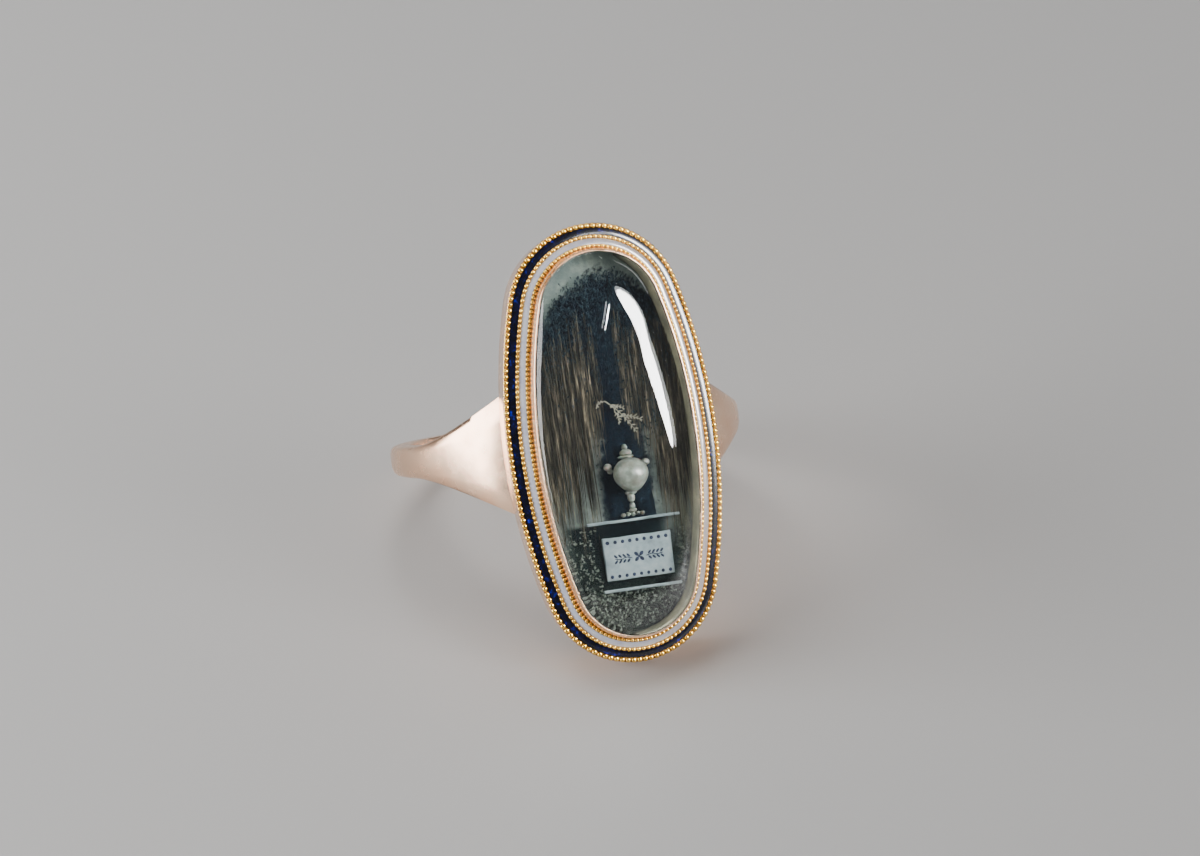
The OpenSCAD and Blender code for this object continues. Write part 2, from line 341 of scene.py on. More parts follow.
# %% [markdown]
# ## The beaded lines
# Three rows of beads, drawn as milgrain, edge the enamels. One bead is modelled and copied along the oval.
# There are hundreds, so a bead has only a few dozen faces, and its hidden lower half is cut off.

# %% One bead and three rows
select_nothing()
bpy.ops.mesh.primitive_ico_sphere_add(subdivisions=2, radius=0.5)
bead = bpy.context.object
edit()
select_mesh()
bpy.ops.mesh.bisect(plane_co=(0, 0, -0.2), plane_no=(0, 0, -1), clear_outer=True, use_fill=True)
close()
smooth(bead, 60)


def bead_row(name, inset, count, size, height):
    """Sets beads in a row. The size is along the row, across it, and up."""
    row = []
    for place, out in on_oval(inset, count):
        copy = copy_of(bead)
        turn = math.atan2(out.y, out.x)
        wobble = random.uniform(0.95, 1.04)
        copy.data.transform(
            Matrix.Translation(place + Vector((0, 0, height)))
            @ Matrix.Rotation(turn, 4, "Z")
            @ Matrix.Diagonal((size[1], size[0] * wobble, size[2] * wobble, 1))
        )
        row.append(copy)
    return join(row, name)


random.seed(4)
outer_beads = bead_row("outer_beads", 0.14, 180, (0.315, 0.34, 0.28), 0.02)
middle_beads = bead_row("middle_beads", 0.74, 200, (0.262, 0.235, 0.21), 0.28)
inner_beads = bead_row("inner_beads", 1.255, 200, (0.248, 0.22, 0.2), 0.45)
bpy.data.objects.remove(bead)
print("faces in the three rows:", [len(row.data.polygons) for row in (outer_beads, middle_beads, inner_beads)])

# %% [markdown]
# ## The enamels
# Enamel is glass melted in a groove, so its face swells a little and its edges creep up the gold. Each band
# is a thin closed section with a curved top, spun round the oval like the case.

# %% Two bands of enamel
def enamel_band(name, outer, inner, outer_z, inner_z, swell, floor_z):
    """A band of enamel between two insets, with a swelled face."""
    top = []
    for k in range(9):
        t = k / 8
        top.append((outer + (inner - outer) * t, outer_z + (inner_z - outer_z) * t + swell * 4 * t * (1 - t)))
    return round_the_oval(name, [*top, (inner, inner_z - 0.16), (outer, floor_z)])


blue_band = enamel_band("blue_band", 0.29, 0.64, 0.12, 0.21, 0.014, -0.13)
white_band = enamel_band("white_band", 0.84, 1.16, 0.28, 0.4, 0.022, 0.11)
for band in (blue_band, white_band):
    smooth(band, 50)
    print(band.name, "has", len(band.data.polygons), "faces")

# %% [markdown]
# ## The crystal
# The cover is rock crystal cut as a long barrel: it curves tightly across and gently along, and it is hollowed
# to the same curve beneath. Each face starts as the oval outline, which is extruded and shrunk ring by ring and
# lifted to the barrel's surface. Smoothing the points polishes it, so that a lamp's streak has a clean edge.

# %% The crystal's dome
CRYSTAL_D, CRYSTAL_Z, CRYSTAL_EDGE, DOME_H = 1.57, 0.25, 0.9, 1.5
SHARES = (0.995, 0.985, 0.97, *(0.95 - 0.03 * k for k in range(30)))
FULLNESS, SOFTNESS = 2.3, 0.8
SAME = 0.0005


def dome(share):
    """Height of the dome over its edge, at a share of the way out from its middle."""
    return DOME_H * (1 - share**FULLNESS) ** SOFTNESS


def take_rings(height):
    """Selects the points that lie at a height."""
    bpy.ops.mesh.select_all(action="DESELECT")
    close()
    for vertex in crystal.data.vertices:
        vertex.select = abs(vertex.co.z - height) < SAME
    edit()


def inside_oval(x, y, inset):
    """Whether a point lies inside the oval at an inset."""
    x, y = abs(x), abs(y)
    if y - END_Y > x * math.tan(JOIN):
        return math.hypot(x, y - END_Y) < END_R - inset
    return math.hypot(x + FLANK_X, y) < FLANK_R - inset


edge = [(CRYSTAL_D, CRYSTAL_Z), (CRYSTAL_D, CRYSTAL_Z + CRYSTAL_EDGE)]
crystal = round_the_oval("crystal_dome", edge, closed=False, ends=False)
only(crystal)
edit()
bpy.ops.mesh.select_mode(type="VERT")
for foot in (CRYSTAL_Z + CRYSTAL_EDGE, CRYSTAL_Z):
    take_rings(foot)
    share, height = 1.0, 0.0
    for next_share in SHARES:
        rise = dome(next_share) - height
        bpy.ops.mesh.extrude_region_move(TRANSFORM_OT_translate={"value": (0, 0, rise)})
        size = next_share / share
        bpy.ops.transform.resize(value=(size, size, 1), center_override=(0, 0, 0))
        share, height = next_share, dome(next_share)
    bpy.ops.mesh.merge(type="CENTER")
select_mesh()
bpy.ops.mesh.remove_doubles(threshold=SAME)
bpy.ops.mesh.select_all(action="DESELECT")
close()

# %% Polishing the crystal
POLISHED = 0.965
for vertex in crystal.data.vertices:
    vertex.select = inside_oval(vertex.co.x / POLISHED, vertex.co.y / POLISHED, CRYSTAL_D)
edit()
bpy.ops.mesh.vertices_smooth(factor=0.5, repeat=24)
close()
weld(crystal)
smooth(crystal, 60)
print("the dome stands", CRYSTAL_Z + CRYSTAL_EDGE + DOME_H, "mm above the blue enamel's foot")

# %% [markdown]
# ## Pearls of the urn
# The urn is built of half pearls and seed pearls, set side by side. Real ones are never quite round, so one
# smooth pearl is modelled and each copy is pressed a little out of true. The large one is an urn's body:
# broad at its shoulders and narrow at its foot.

# %% The pearls
PICTURE_Z = -0.7
GLUE = 0.01
URN_X = 0.65
select_nothing()
bpy.ops.mesh.primitive_uv_sphere_add(segments=40, ring_count=24, radius=0.5)
round_pearl = bpy.context.object


def pearl(name, x, y, size, press=0.05, seed=1):
    """Copies the pearl to its place on the picture, pressed a little out of true."""
    rng = random.Random(seed)
    copy = copy_of(round_pearl)
    copy.name = name
    waves = [(rng.uniform(1, 3), rng.uniform(0, 6.3), rng.randint(0, 2)) for k in range(3)]
    for vertex in copy.data.vertices:
        bump = sum(math.sin(f * 6 * vertex.co[axis] + phase) for f, phase, axis in waves) * press / 3
        vertex.co *= 1 + bump
    copy.data.transform(
        Matrix.Translation((URN_X + x, y, PICTURE_Z + GLUE + size[2] / 2)) @ Matrix.Diagonal((*size, 1))
    )
    smooth(copy, 180)
    return copy


BODY_Y = -1.86
body = pearl("pearl_body", 0, BODY_Y, (1.9, 1.92, 1.75), press=0.03, seed=3)
for vertex in body.data.vertices:
    up_body = (vertex.co.y - BODY_Y) / 0.95
    narrow = 1.0 + 0.1 * up_body - 0.16 * max(0.0, -up_body) ** 1.5
    vertex.co.x = URN_X + (vertex.co.x - URN_X) * narrow
pearls = {
    "urn_body": [body],
    "urn_neck": [
        pearl("pearl_neck", 0, -3.13, (0.42, 0.56, 0.42), seed=5),
        pearl("pearl_collar", 0, -2.86, (0.66, 0.26, 0.5), seed=6),
    ],
    "urn_lid": [
        pearl("pearl_lid", 0, -0.66, (0.66, 0.44, 0.5), seed=7),
        pearl("pearl_rim", 0, -0.86, (0.9, 0.22, 0.6), seed=8),
    ],
    "urn_finial": [pearl("pearl_finial", 0, -0.33, (0.34, 0.32, 0.32), seed=9)],
    "urn_handle_left": [
        pearl("pearl_handle_left", -1.05, -1.3, (0.44, 0.4, 0.44), seed=10),
        pearl("pearl_grip_left", -0.93, -1.55, (0.3, 0.34, 0.3), seed=11),
    ],
    "urn_handle_right": [
        pearl("pearl_handle_right", 1.05, -1.3, (0.44, 0.4, 0.44), seed=12),
        pearl("pearl_grip_right", 0.93, -1.55, (0.3, 0.34, 0.3), seed=13),
    ],
    "urn_stem": [
        pearl("pearl_stem", 0, -3.6, (0.34, 0.42, 0.36), seed=14),
        pearl("pearl_knop", 0, -3.83, (0.44, 0.26, 0.4), seed=15),
    ],
    "urn_foot": [
        pearl(
            f"pearl_foot_{k}", (k - 2) * 0.27, -4.06 + 0.03 * (k % 2), (0.27, 0.24, 0.26),
            press=0.08, seed=20 + k,
        )
        for k in range(5)
    ],
}
bpy.data.objects.remove(round_pearl)
print(sum(len(group) for group in pearls.values()), "pearls")

# %% [markdown]
# ## The plinth
# Thin slips of ivory make the plinth: a bar at its top, a plaque with two rows of painted dots, and a bar at
# its foot. Each starts as a cube and gets worn, rounded edges. A small painted flower between two sprigs, an
# old and common ornament, fills the plaque.

# %% The slips of ivory
PLAQUE_Y = -6.395
SLIP_THICK, SLIP_TURN = 0.2, -1.0


def slip(name, width, height, y):
    """A thin ivory slip on the picture, with rounded edges and a face that isn't quite flat."""
    select_nothing()
    bpy.ops.mesh.primitive_cube_add(
        size=1, location=(URN_X, y, PICTURE_Z + GLUE + SLIP_THICK / 2), scale=(width, height, SLIP_THICK),
        rotation=(0, 0, math.radians(SLIP_TURN)),
    )
    piece = bpy.context.object
    piece.name = name
    bpy.ops.object.transform_apply(location=True, rotation=True, scale=True)
    edit()
    bpy.ops.mesh.bevel(offset=min(height, SLIP_THICK) * 0.3, segments=3, affect="EDGES")
    select_mesh()
    bpy.ops.mesh.subdivide(number_cuts=3)
    close()
    for vertex in piece.data.vertices:
        vertex.co.y += 0.012 * math.sin(vertex.co.x * 3.1 + y)
        vertex.co.z += 0.01 * math.sin(vertex.co.x * 2.3 + vertex.co.y * 1.7)
    smooth(piece, 40)
    return piece


cap = slip("plinth_top_slip", 5.1, 0.15, -4.36)
plaque = slip("plinth_plaque_slip", 3.75, 2.35, PLAQUE_Y)
foot = slip("plinth_foot_slip", 4.3, 0.15, -8.13)
print("the slips span", [tuple(round(v, 2) for v in piece.dimensions) for piece in (cap, plaque, foot)], "mm")

# %% The painted dots and flower
select_nothing()
bpy.ops.mesh.primitive_ico_sphere_add(subdivisions=2, radius=0.5)
dab = bpy.context.object
smooth(dab, 180)


def paint_dab(x, y, width, height, angle=0.0):
    """A small raised dab of paint on the plaque."""
    copy = copy_of(dab)
    copy.data.transform(
        Matrix.Translation((URN_X + x, PLAQUE_Y + y, PICTURE_Z + GLUE + SLIP_THICK + 0.005))
        @ Matrix.Rotation(math.radians(angle), 4, "Z")
        @ Matrix.Diagonal((width, height, 0.05, 1))
    )
    return copy


dabs = []
for k in range(9):
    dabs.append(paint_dab(-1.62 + k * 0.405, 0.95 - 0.03 * k / 4, 0.2, 0.21))
    dabs.append(paint_dab(-1.62 + k * 0.405, -0.93 - 0.03 * k / 4, 0.19, 0.2))
for k in range(4):
    petal = math.radians(45 + 90 * k)
    dabs.append(paint_dab(0.2 * math.cos(petal), 0.2 * math.sin(petal), 0.3, 0.19, 45 + 90 * k))
dabs.append(paint_dab(0, 0, 0.13, 0.13))
for side in (-1, 1):
    for k in range(4):
        along = 0.52 + 0.23 * k
        dabs.append(paint_dab(side * along, 0.04 * math.sin(2 * k), 0.3, 0.06, side * 12 * math.cos(2 * k)))
        dabs.append(paint_dab(side * (along + 0.08), 0.15, 0.26, 0.12, side * 48))
        dabs.append(paint_dab(side * (along + 0.08), -0.15, 0.26, 0.12, side * -48))
bpy.data.objects.remove(dab)
print(len(dabs), "dabs of paint")
dots = join(dabs, "painted_dots")

# %% [markdown]
# ## The hair work
# The willow is real hair: its foliage is hair chopped fine and glued on like snow, and its hanging branches are
# strands laid side by side. Tapered curves make the strands, twig and trunk, because a curve keeps a smooth
# taper with few points. Each set is turned into a mesh and flattened, as glued hair lies flat.

# %% Strands as tapered curves
def strands(name, lines, flat=0.5):
    """Makes tapered strands from lines of (x, y, height, radius), flattened towards the picture."""
    select_nothing()
    bpy.ops.curve.primitive_bezier_curve_add()
    holder = bpy.context.object
    holder.name = name
    curve = holder.data
    curve.dimensions = "3D"
    curve.splines.clear()
    curve.bevel_depth = 1.0
    curve.bevel_resolution = 0
    curve.use_fill_caps = True
    for line in lines:
        spline = curve.splines.new("POLY")
        spline.points.add(len(line) - 1)
        for point, (x, y, height, radius) in zip(spline.points, line):
            point.co = (x, y, height / flat, 1)
            point.radius = radius
    only(holder)
    bpy.ops.object.convert(target="MESH")
    piece = bpy.context.object
    for vertex in piece.data.vertices:
        vertex.co.z = PICTURE_Z + GLUE + vertex.co.z * flat
    smooth(piece, 80)
    return piece


def hanging(rng, x, top, length, lean, radius, height, points=9):
    """One hanging strand with a slight wave, thickest near its middle and pointed below."""
    line = []
    wave, phase = rng.uniform(0.02, 0.07), rng.uniform(0, 6)
    for k in range(points):
        t = k / (points - 1)
        line.append((
            x + lean * length * t + wave * math.sin(phase + 4 * t),
            top - length * t,
            height * (0.5 + 0.5 * math.sin(math.pi * min(1, t + 0.15))),
            radius * (0.25 + 0.75 * math.sin(math.pi * min(1.0, 0.1 + t * 0.75))) * (1 - t**3) + 0.004,
        ))
    return line


# %% The tresses
CROWN_X, CROWN_TOP, CROWN_FALL = 0.6, 9.35, 0.2
FIELD_W, FIELD_L = 4.3, 10.2


def crown_edge(x):
    """Height of the willow crown's upper edge."""
    return CROWN_TOP - CROWN_FALL * (x - CROWN_X) ** 2 * (1.15 if x > CROWN_X else 0.9)


# Each group: from x, to x, top, longest drop, count of strands, radius. The last three are the thick ones.
GROUPS = (
    (-4.1, -3.1, 3.4, 6.5, 70, 0.02), (-3.4, -1.1, 5.0, 9.0, 220, 0.022), (-1.3, -0.15, 5.2, 3.8, 90, 0.02),
    (0.9, 3.0, 5.2, 4.4, 160, 0.02), (2.3, 3.3, 0.6, 4.6, 60, 0.018), (3.0, 4.2, 5.4, 9.5, 130, 0.022),
    (-3.3, -0.2, 7.4, 6.5, 20, 0.036), (0.9, 2.9, 7.4, 4.6, 12, 0.036), (3.1, 4.1, 5.5, 7.5, 9, 0.036),
)
rng = random.Random(11)
tresses = []
for x0, x1, top, drop, count, radius in GROUPS:
    for k in range(count):
        x = rng.uniform(x0, x1)
        start = min(crown_edge(x) - 1.4, top + rng.uniform(-3.4, 1.0) + 1.6 * rng.random() ** 4)
        room = FIELD_L * math.sqrt(max(0.02, 1 - (x / FIELD_W) ** 2))
        length = min(drop * rng.uniform(0.25, 1.0), start + room)
        lean = -0.02 + 0.03 * rng.random() - 0.008 * x
        thick = radius * rng.uniform(0.6, 1.4)
        tresses.append(hanging(rng, x, start, length, lean, thick, rng.uniform(0.05, 0.26)))
hair = strands("hair_strands", tresses)
print(len(tresses), "strands of hair")

# %% The trunk and its boughs
def bough(points, radius, end_radius, height=0.12):
    """A line of points that tapers from one radius to another."""
    last = len(points) - 1
    return [(x, y, height, radius + (end_radius - radius) * k / last) for k, (x, y) in enumerate(points)]


left_of_trunk = [
    (0.2, -4.3), (0.15, -3.0), (0.25, -1.5), (0.45, 0.0), (0.6, 1.5),
    (0.62, 3.0), (0.55, 4.4), (0.7, 6.0), (0.9, 7.6),
]
trunk_lines = [
    bough(left_of_trunk, 0.75, 0.16, 0.02),
    bough([(1.3, -4.3), (1.25, -2.6), (1.15, -0.8), (1.05, 1.0), (0.95, 2.8), (0.9, 4.2)], 0.7, 0.3, 0.02),
    bough([(0.6, 3.0), (0.1, 4.6), (-0.7, 6.0), (-1.8, 7.1), (-2.5, 7.4)], 0.2, 0.06, 0.06),
    bough([(0.62, 4.2), (0.0, 6.0), (-0.4, 7.6), (-0.6, 8.6)], 0.16, 0.05, 0.06),
    bough([(0.7, 4.0), (1.4, 5.8), (2.2, 7.0), (3.1, 7.2)], 0.18, 0.05, 0.06),
    bough([(0.65, 5.0), (1.0, 7.0), (1.5, 8.6)], 0.14, 0.05, 0.06),
]
trunk = strands("willow_trunk", trunk_lines, flat=0.16)
print(len(trunk_lines), "lines in the trunk and its boughs")

# %% The twig over the urn
BOW = 0.12
twig_lines = []


def sprig(start, end, leaves, size, rng):
    """A stem from start to end with small leaves along both sides."""
    start, end = Vector(start), Vector(end)
    way = end - start
    side = Vector((-way.y, way.x)).normalized()
    stem = [start + way * t + side * BOW * math.sin(math.pi * t) for t in (0, 0.25, 0.5, 0.75, 1)]
    twig_lines.append(bough([tuple(p) for p in stem], 0.035, 0.015, 0.3))
    for k in range(leaves):
        t = 0.15 + 0.85 * k / leaves
        joint = start + way * t + side * BOW * math.sin(math.pi * t)
        for hand in (-1, 1):
            tip = joint + (way.normalized() * 0.8 + side * hand * 0.75) * size * rng.uniform(0.5, 1.1)
            middle = (joint + tip) / 2
            places = ((joint, 0.3, 0.012), (middle, 0.34, 0.038), (tip, 0.3, 0.006))
            twig_lines.append([(place.x, place.y, height, radius) for place, height, radius in places])


sprig((-0.1, 2.35), (1.45, 0.4), 8, 0.27, rng)
sprig((0.15, 1.95), (0.95, 1.75), 4, 0.19, rng)
sprig((0.6, 1.4), (1.85, 1.0), 6, 0.24, rng)
sprig((0.35, 1.7), (0.5, 0.95), 4, 0.2, rng)
sprig((-0.6, 2.0), (-0.1, 2.35), 3, 0.16, rng)
twig = strands("leafy_twig", twig_lines, flat=0.6)
print(len(twig_lines), "stems and leaves in the twig")

# %% [markdown]
# The foliage and the ground are chopped hair and shell dust. One flake is modelled, a small pointed sliver,
# and strewn in hundreds where the picture is dark or speckled. The strewing follows simple outlines.

# %% Flakes
select_nothing()
bpy.ops.mesh.primitive_cone_add(vertices=5, radius1=0.5, radius2=0.0, depth=1.0, rotation=(math.pi / 2, 0, 0))
flake = bpy.context.object
bpy.ops.object.transform_apply(rotation=True)


def strew(name, count, place, size, slim=0.5, seed=1, top=0.14):
    """Strews flakes. The place rule gives (x, y, lean) or nothing, and the size is a range."""
    rng = random.Random(seed)
    heap = []
    while len(heap) < count:
        spot = place(rng)
        if spot is None:
            continue
        x, y, lean = spot
        long = rng.uniform(*size)
        copy = copy_of(flake)
        copy.data.transform(
            Matrix.Translation((x, y, PICTURE_Z + rng.uniform(0.02, top)))
            @ Matrix.Rotation(math.radians(lean), 4, "Z")
            @ Matrix.Rotation(rng.uniform(-0.3, 0.3), 4, "X")
            @ Matrix.Diagonal((long * slim, long, long * slim * 0.5, 1))
        )
        heap.append(copy)
    return join(heap, name)


# %% Where the flakes go
PICTURE_EDGE = 1.85
TRUNK_X = 0.7
SHRUB_X, SHRUB_Y, SHRUB_R = 2.75, 1.05, 0.95
PLINTH_FOOT = -8.1


def in_picture(x, y):
    """Whether a point lies inside the picture's edge."""
    return inside_oval(x, y, PICTURE_EDGE)


def crown_spot(rng):
    """A spot in the willow's crown, denser near its upper edge."""
    x = rng.uniform(-4.2, 4.2)
    depth = abs(rng.gauss(0, 2.7))
    y = crown_edge(x) - depth + rng.gauss(0, 0.2)
    if not in_picture(x, y) or y < 1.0 or (x > 2.2 and rng.random() < 0.5):
        return None
    return x, y, rng.gauss(0, 25)


def trunk_spot(rng):
    """A spot in the dark undergrowth on the trunk and behind the urn."""
    x, y = rng.gauss(TRUNK_X, 0.7), rng.uniform(-4.2, 5.5)
    return (x, y, rng.uniform(-180, 180)) if abs(x - TRUNK_X) < 1.7 else None


def shrub_spot(rng):
    """A spot in the round shrub at the right."""
    x, y = rng.gauss(SHRUB_X, 0.42), rng.gauss(SHRUB_Y, 0.5)
    return (x, y, rng.gauss(180, 50)) if math.hypot(x - SHRUB_X, (y - SHRUB_Y) * 0.8) < SHRUB_R else None


def ground_spot(rng):
    """A spot on the ground under the plinth and beside it."""
    x, y = rng.uniform(-3.2, 3.4), rng.uniform(-10.2, -4.6)
    if not in_picture(x, y):
        return None
    if y > PLINTH_FOOT and -1.5 < x < 2.8:
        return None
    if y > PLINTH_FOOT and rng.random() < (y - PLINTH_FOOT) / 4.5:
        return None
    return x, y, rng.uniform(-180, 180)


# %% Strewing
foliage = strew("willow_foliage", 3600, crown_spot, (0.07, 0.24), 0.4, seed=2, top=0.3)
undergrowth = strew("dark_undergrowth", 1100, trunk_spot, (0.08, 0.24), 0.5, seed=3, top=0.27)
shrub = strew("round_shrub", 260, shrub_spot, (0.08, 0.24), 0.5, seed=4)
ground = strew("ground_specks", 700, ground_spot, (0.08, 0.2), 0.8, seed=5)
bpy.data.objects.remove(flake)
for piece in (foliage, undergrowth, shrub, ground):
    smooth(piece, 60)
    print(piece.name, "has", len(piece.data.polygons), "faces")

# %% [markdown]
# ## Finishes
# Every finish is made of nodes, so it has no image to go missing. All patterns read one place, in the ring's
# own millimetres. A Mapping node finds it from the object's coordinates by undoing the matrix that laid it down.

# %% Small helpers for nodes
def add(tree, kind, inputs=None, **settings):
    """Adds a node, sets it, and links or sets its inputs."""
    node = tree.nodes.new("ShaderNode" + kind)
    for name, value in settings.items():
        setattr(node, name, value)
    for name, value in (inputs or {}).items():
        if isinstance(value, bpy.types.NodeSocket):
            tree.links.new(value, node.inputs[name])
        else:
            node.inputs[name].default_value = value
    return node


def bench_place(tree, stretch=(1, 1, 1)):
    """The place in the ring's own frame, in millimetres. A stretch over one draws a pattern out."""
    here = add(tree, "TexCoord").outputs["Object"]
    place = add(tree, "Mapping", {
        "Vector": here, "Location": BENCH_ORIGIN, "Rotation": TABLE.to_euler(), "Scale": (MM, MM, MM),
    }, vector_type="TEXTURE").outputs[0]
    if stretch == (1, 1, 1):
        return place
    return add(tree, "Mapping", {"Vector": place, "Scale": [1 / s for s in stretch]}).outputs[0]


def noise(tree, place, scale, detail=3.0, rough=0.55):
    """Soft noise between 0 and 1, with features of about one over the scale in millimetres."""
    inputs = {"Vector": place, "Scale": scale, "Detail": detail, "Roughness": rough}
    return add(tree, "TexNoise", inputs).outputs[0]


def ramp(tree, value, *stops):
    """Turns a value into a colour, from stops of (position, colour)."""
    node = add(tree, "ValToRGB", {0: value})
    node.color_ramp.elements[0].position, node.color_ramp.elements[0].color = stops[0][0], (*stops[0][1], 1)
    node.color_ramp.elements[1].position, node.color_ramp.elements[1].color = stops[-1][0], (*stops[-1][1], 1)
    for position, colour in stops[1:-1]:
        node.color_ramp.elements.new(position).color = (*colour, 1)
    return node.outputs[0]


def blend(tree, share, one, two):
    """Mixes two colours."""
    node = add(tree, "Mix", data_type="RGBA")
    for index, value in ((0, share), (6, one), (7, two)):
        if isinstance(value, bpy.types.NodeSocket):
            tree.links.new(value, node.inputs[index])
        else:
            node.inputs[index].default_value = value if index == 0 else (*value, 1)
    return node.outputs[2]


def colour_by(tree, shader, value, *stops):
    """Gives a shader its base colour from a value and stops."""
    tree.links.new(ramp(tree, value, *stops), shader.inputs["Base Color"])


def reckon(tree, operation, one, two=0.0, three=0.0):
    """One step of arithmetic."""
    return add(tree, "Math", {0: one, 1: two, 2: three}, operation=operation).outputs[0]


def between(tree, value, low, high, to_low=0.0, to_high=1.0):
    """Maps a range of a value smoothly to another."""
    return add(tree, "MapRange", {
        "Value": value, "From Min": low, "From Max": high, "To Min": to_low, "To Max": to_high,
    }, interpolation_type="SMOOTHSTEP").outputs[0]


def finish(name, **values):
    """A new material and its shader. A value's name is the shader's input, with _ for a space."""
    paint = bpy.data.materials.new(name)
    paint.use_nodes = True
    shader = paint.node_tree.nodes["Principled BSDF"]
    for key, value in values.items():
        shader.inputs[key.replace("_", " ")].default_value = value
    return paint, paint.node_tree, shader


def relief(tree, shader, height, depth, strength=1.0):
    """Raises a value as relief, its depth in millimetres."""
    node = add(tree, "Bump", {"Height": height, "Distance": depth * MM, "Strength": strength})
    tree.links.new(node.outputs[0], shader.inputs["Normal"])


def wear(piece, paint):
    """Gives a piece its finish."""
    piece.data.materials.clear()
    piece.data.materials.append(paint)


# %% [markdown]
# ## Gold
# Old rose gold is polished but never a mirror: it has fine scratches in all directions, small dents, and its
# colour shifts a little where it was soldered. The beads are of a yellower gold, and the gold under and between
# them is painted dark brown as shade.

# %% Rose gold and yellow gold
def gold(name, pale, deep, rough, scratch):
    """Polished gold with scratches, dents and a slight change of colour."""
    paint, tree, shader = finish(name, Metallic=1.0)
    place = bench_place(tree)
    colour_by(tree, shader, noise(tree, place, 0.5, 4), (0.3, deep), (0.7, pale))
    one = noise(tree, bench_place(tree, (9, 0.35, 0.35)), 3.0, 2)
    two = noise(tree, bench_place(tree, (0.3, 7, 0.6)), 3.0, 2)
    lines = reckon(tree, "MULTIPLY", one, two)
    smear = noise(tree, place, 1.4, 5)
    tree.links.new(between(tree, smear, 0.25, 0.8, rough - 0.03, rough + 0.06), shader.inputs["Roughness"])
    dents = reckon(tree, "MULTIPLY_ADD", noise(tree, place, 0.3, 1), 1.0, reckon(tree, "MULTIPLY", lines, 0.15))
    relief(tree, shader, dents, 0.005, scratch)
    return paint


rose_gold = gold("rose_gold", (0.96, 0.67, 0.48), (0.91, 0.56, 0.37), 0.24, 0.06)
yellow_gold = gold("yellow_gold", (0.95, 0.62, 0.14), (0.72, 0.41, 0.07), 0.2, 0.2)
# Painted shade: a dark brown gold for the land under the beads and the grooves under the enamel.
painted_shade_gold = gold("painted_shade_gold", (0.24, 0.13, 0.04), (0.1, 0.05, 0.02), 0.5, 0.3)
# Painted shade: the walls of the well inside the collet, under the crystal, get a dark, mottled, half-metal
# finish.
painted_shade_well, tree, shader = finish("painted_shade_well", Roughness=0.45, Metallic=0.4)
mottle = noise(tree, bench_place(tree), 0.9, 4, 0.6)
colour_by(tree, shader, mottle, (0.3, (0.1, 0.1, 0.07)), (0.55, (0.2, 0.19, 0.13)), (0.75, (0.34, 0.31, 0.2)))

# %% [markdown]
# ## Enamels
# The blue is so deep that it looks black until light catches it, and brighter blue specks are painted into its
# colour as glints from the metal under it. The white leans to blue and is slightly uneven. Both have a glassy
# coat.

# %% Blue and white enamel
blue, tree, shader = finish(
    "blue_enamel_glass", Roughness=0.3, Specular_IOR_Level=0.1, Coat_Weight=1.0, Coat_Roughness=0.16, IOR=1.5
)
place = bench_place(tree)
depth_and_glints = noise(tree, place, 3.2, 4, 0.6)
# Painted glints: the two brightest stops are blue specks that stand in for light caught on the metal under the
# enamel.
colour_by(
    tree, shader, depth_and_glints,
    (0.4, (0.001, 0.001, 0.008)), (0.6, (0.003, 0.004, 0.035)),
    (0.66, (0.006, 0.01, 0.2)), (0.73, (0.015, 0.02, 0.8)),
)
relief(tree, shader, noise(tree, place, 1.6, 3), 0.025, 0.6)

white, tree, shader = finish(
    "white_enamel_glass", Roughness=0.25, Coat_Weight=1.0, Coat_Roughness=0.12, IOR=1.52
)
place = bench_place(tree)
clouds = noise(tree, place, 1.3, 4, 0.6)
specks = noise(tree, place, 9.0, 2, 0.6)
white_stops = (0.3, (0.6, 0.64, 0.82)), (0.55, (0.76, 0.8, 0.93)), (0.8, (0.84, 0.87, 0.96))
white_colour = ramp(tree, clouds, *white_stops)
speckled = blend(tree, between(tree, specks, 0.68, 0.8, 0, 0.5), white_colour, (0.35, 0.33, 0.36))
tree.links.new(speckled, shader.inputs["Base Color"])
relief(tree, shader, noise(tree, place, 1.8, 3), 0.02, 0.6)

# %% [markdown]
# ## Crystal
# Clear crystal bends what lies under it a little and mirrors the lamps. Its gleam is set weaker than a real
# crystal's, because a pale floor mirrored in it would veil the picture. Cycles would leave the picture in the
# shade of its own glass, so the lamps' shadow rays, and only these, meet a clear shader in its place.

# %% Clear crystal
crystal_finish, tree, shader = finish(
    "clear_crystal", Roughness=0.0, IOR=1.5, Transmission_Weight=1.0, Specular_IOR_Level=0.06
)
shader.inputs["Base Color"].default_value = (0.97, 0.985, 0.98, 1)
place = bench_place(tree)
relief(tree, shader, noise(tree, place, 0.3, 1), 0.01, 0.12)
clear = add(tree, "BsdfTransparent", {"Color": (0.95, 0.96, 0.955, 1)})
ray = add(tree, "LightPath")
mixed = add(tree, "MixShader", {0: ray.outputs["Is Shadow Ray"], 1: shader.outputs[0], 2: clear.outputs[0]})
tree.links.new(mixed.outputs[0], tree.nodes["Material Output"].inputs["Surface"])

# %% [markdown]
# ## The painted ivory
# Under the hair the ivory carries a thin wash: a grey-green sky, dark foliage, a dark trunk, the shaded block
# of the plinth and a speckled ground. Each is a soft mask in the picture's own millimetres, its edge broken up
# by noise, and they are laid over each other as a painter lays washes.

# %% The sky and the willow's crown
def product(tree, *values):
    """Multiplies masks from left to right."""
    result = values[0]
    for value in values[1:]:
        result = reckon(tree, "MULTIPLY", result, value)
    return result


ivory_picture, tree, shader = finish("ivory_picture", Roughness=0.8, Specular_IOR_Level=0.0)
place = bench_place(tree)
spread = add(tree, "SeparateXYZ", {0: place})
x, y = spread.outputs[0], spread.outputs[1]
fine = noise(tree, place, 3.2, 5, 0.65)
broad = noise(tree, place, 0.7, 4, 0.6)
broad_wave = product(tree, reckon(tree, "SUBTRACT", broad, 0.5), 2.4)
ragged = reckon(tree, "MULTIPLY_ADD", reckon(tree, "SUBTRACT", fine, 0.5), 2.2, broad_wave)

